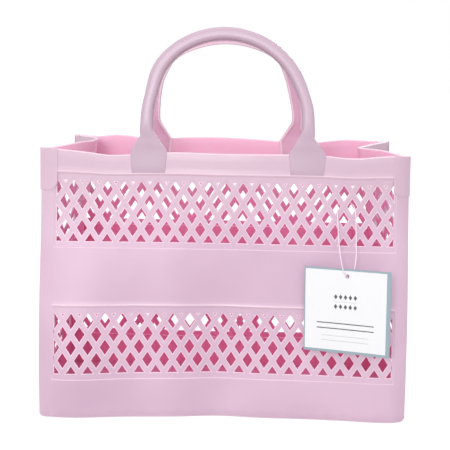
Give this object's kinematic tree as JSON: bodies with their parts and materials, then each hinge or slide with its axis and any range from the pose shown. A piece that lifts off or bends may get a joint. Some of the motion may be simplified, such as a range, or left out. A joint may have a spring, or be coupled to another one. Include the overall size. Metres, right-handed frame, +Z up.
{
  "type": "shower caddy",
  "caption": "Soft moulded tote-style shower caddy with diamond lattice walls, folded side gussets, arched carry handles and a square hang tag on a nylon loop.",
  "frame": {"origin": "middle of the footprint on the ground", "axes": "+Z up, +X to the right seen from the front, +Y from the front wall to the back wall"},
  "size_m": [0.2726, 0.1446, 0.285],
  "materials": {
    "moulded_sheet": "soft satin moulded sheet",
    "handle_moulding": "soft satin moulding",
    "tag_card": "coated card with a printed border",
    "nylon": "smooth nylon"
  },
  "bodies": {
    "basket": {"front_panel": "moulded_sheet", "back_panel": "moulded_sheet", "left_gusset": "moulded_sheet", "right_gusset": "moulded_sheet", "base_panel": "moulded_sheet", "front_handle_left_foot": "handle_moulding", "front_handle_right_foot": "handle_moulding", "back_handle_left_foot": "handle_moulding", "back_handle_right_foot": "handle_moulding", "front_left_corner_patch": "moulded_sheet", "front_right_corner_patch": "moulded_sheet", "back_left_corner_patch": "moulded_sheet", "back_right_corner_patch": "moulded_sheet"},
    "front_handle": {"front_handle": "handle_moulding"},
    "back_handle": {"back_handle": "handle_moulding"},
    "tag_loop": {"tag_loop": "nylon", "tag_lock": "nylon"},
    "hang_tag": {"hang_tag": "tag_card"}
  },
  "joints": [
    {"name": "front_handle_bend", "type": "hinge", "parent": "basket", "child": "front_handle", "pos_m": [0, -0.05153, 0.20124], "axis": [1, 0, 0], "range_deg": [-22, 90], "stiffness_Nm_per_rad": 0.25},
    {"name": "back_handle_bend", "type": "hinge", "parent": "basket", "child": "back_handle", "pos_m": [0, 0.05153, 0.20124], "axis": [-1, 0, 0], "range_deg": [-22, 90], "stiffness_Nm_per_rad": 0.25},
    {"name": "tag_swing", "type": "hinge", "parent": "basket", "child": "tag_loop", "pos_m": [0.08645, -0.0532, 0.1605], "axis": [0, 1, 0], "range_deg": [-12, 12], "deforming": ["tag_loop"]},
    {"name": "tag_lift", "type": "hinge", "parent": "tag_loop", "child": "hang_tag", "pos_m": [0.0881, -0.07075, 0.1116], "axis": [-0.9367, 0.3502, 0], "range_deg": [0, 35]}
  ]
}
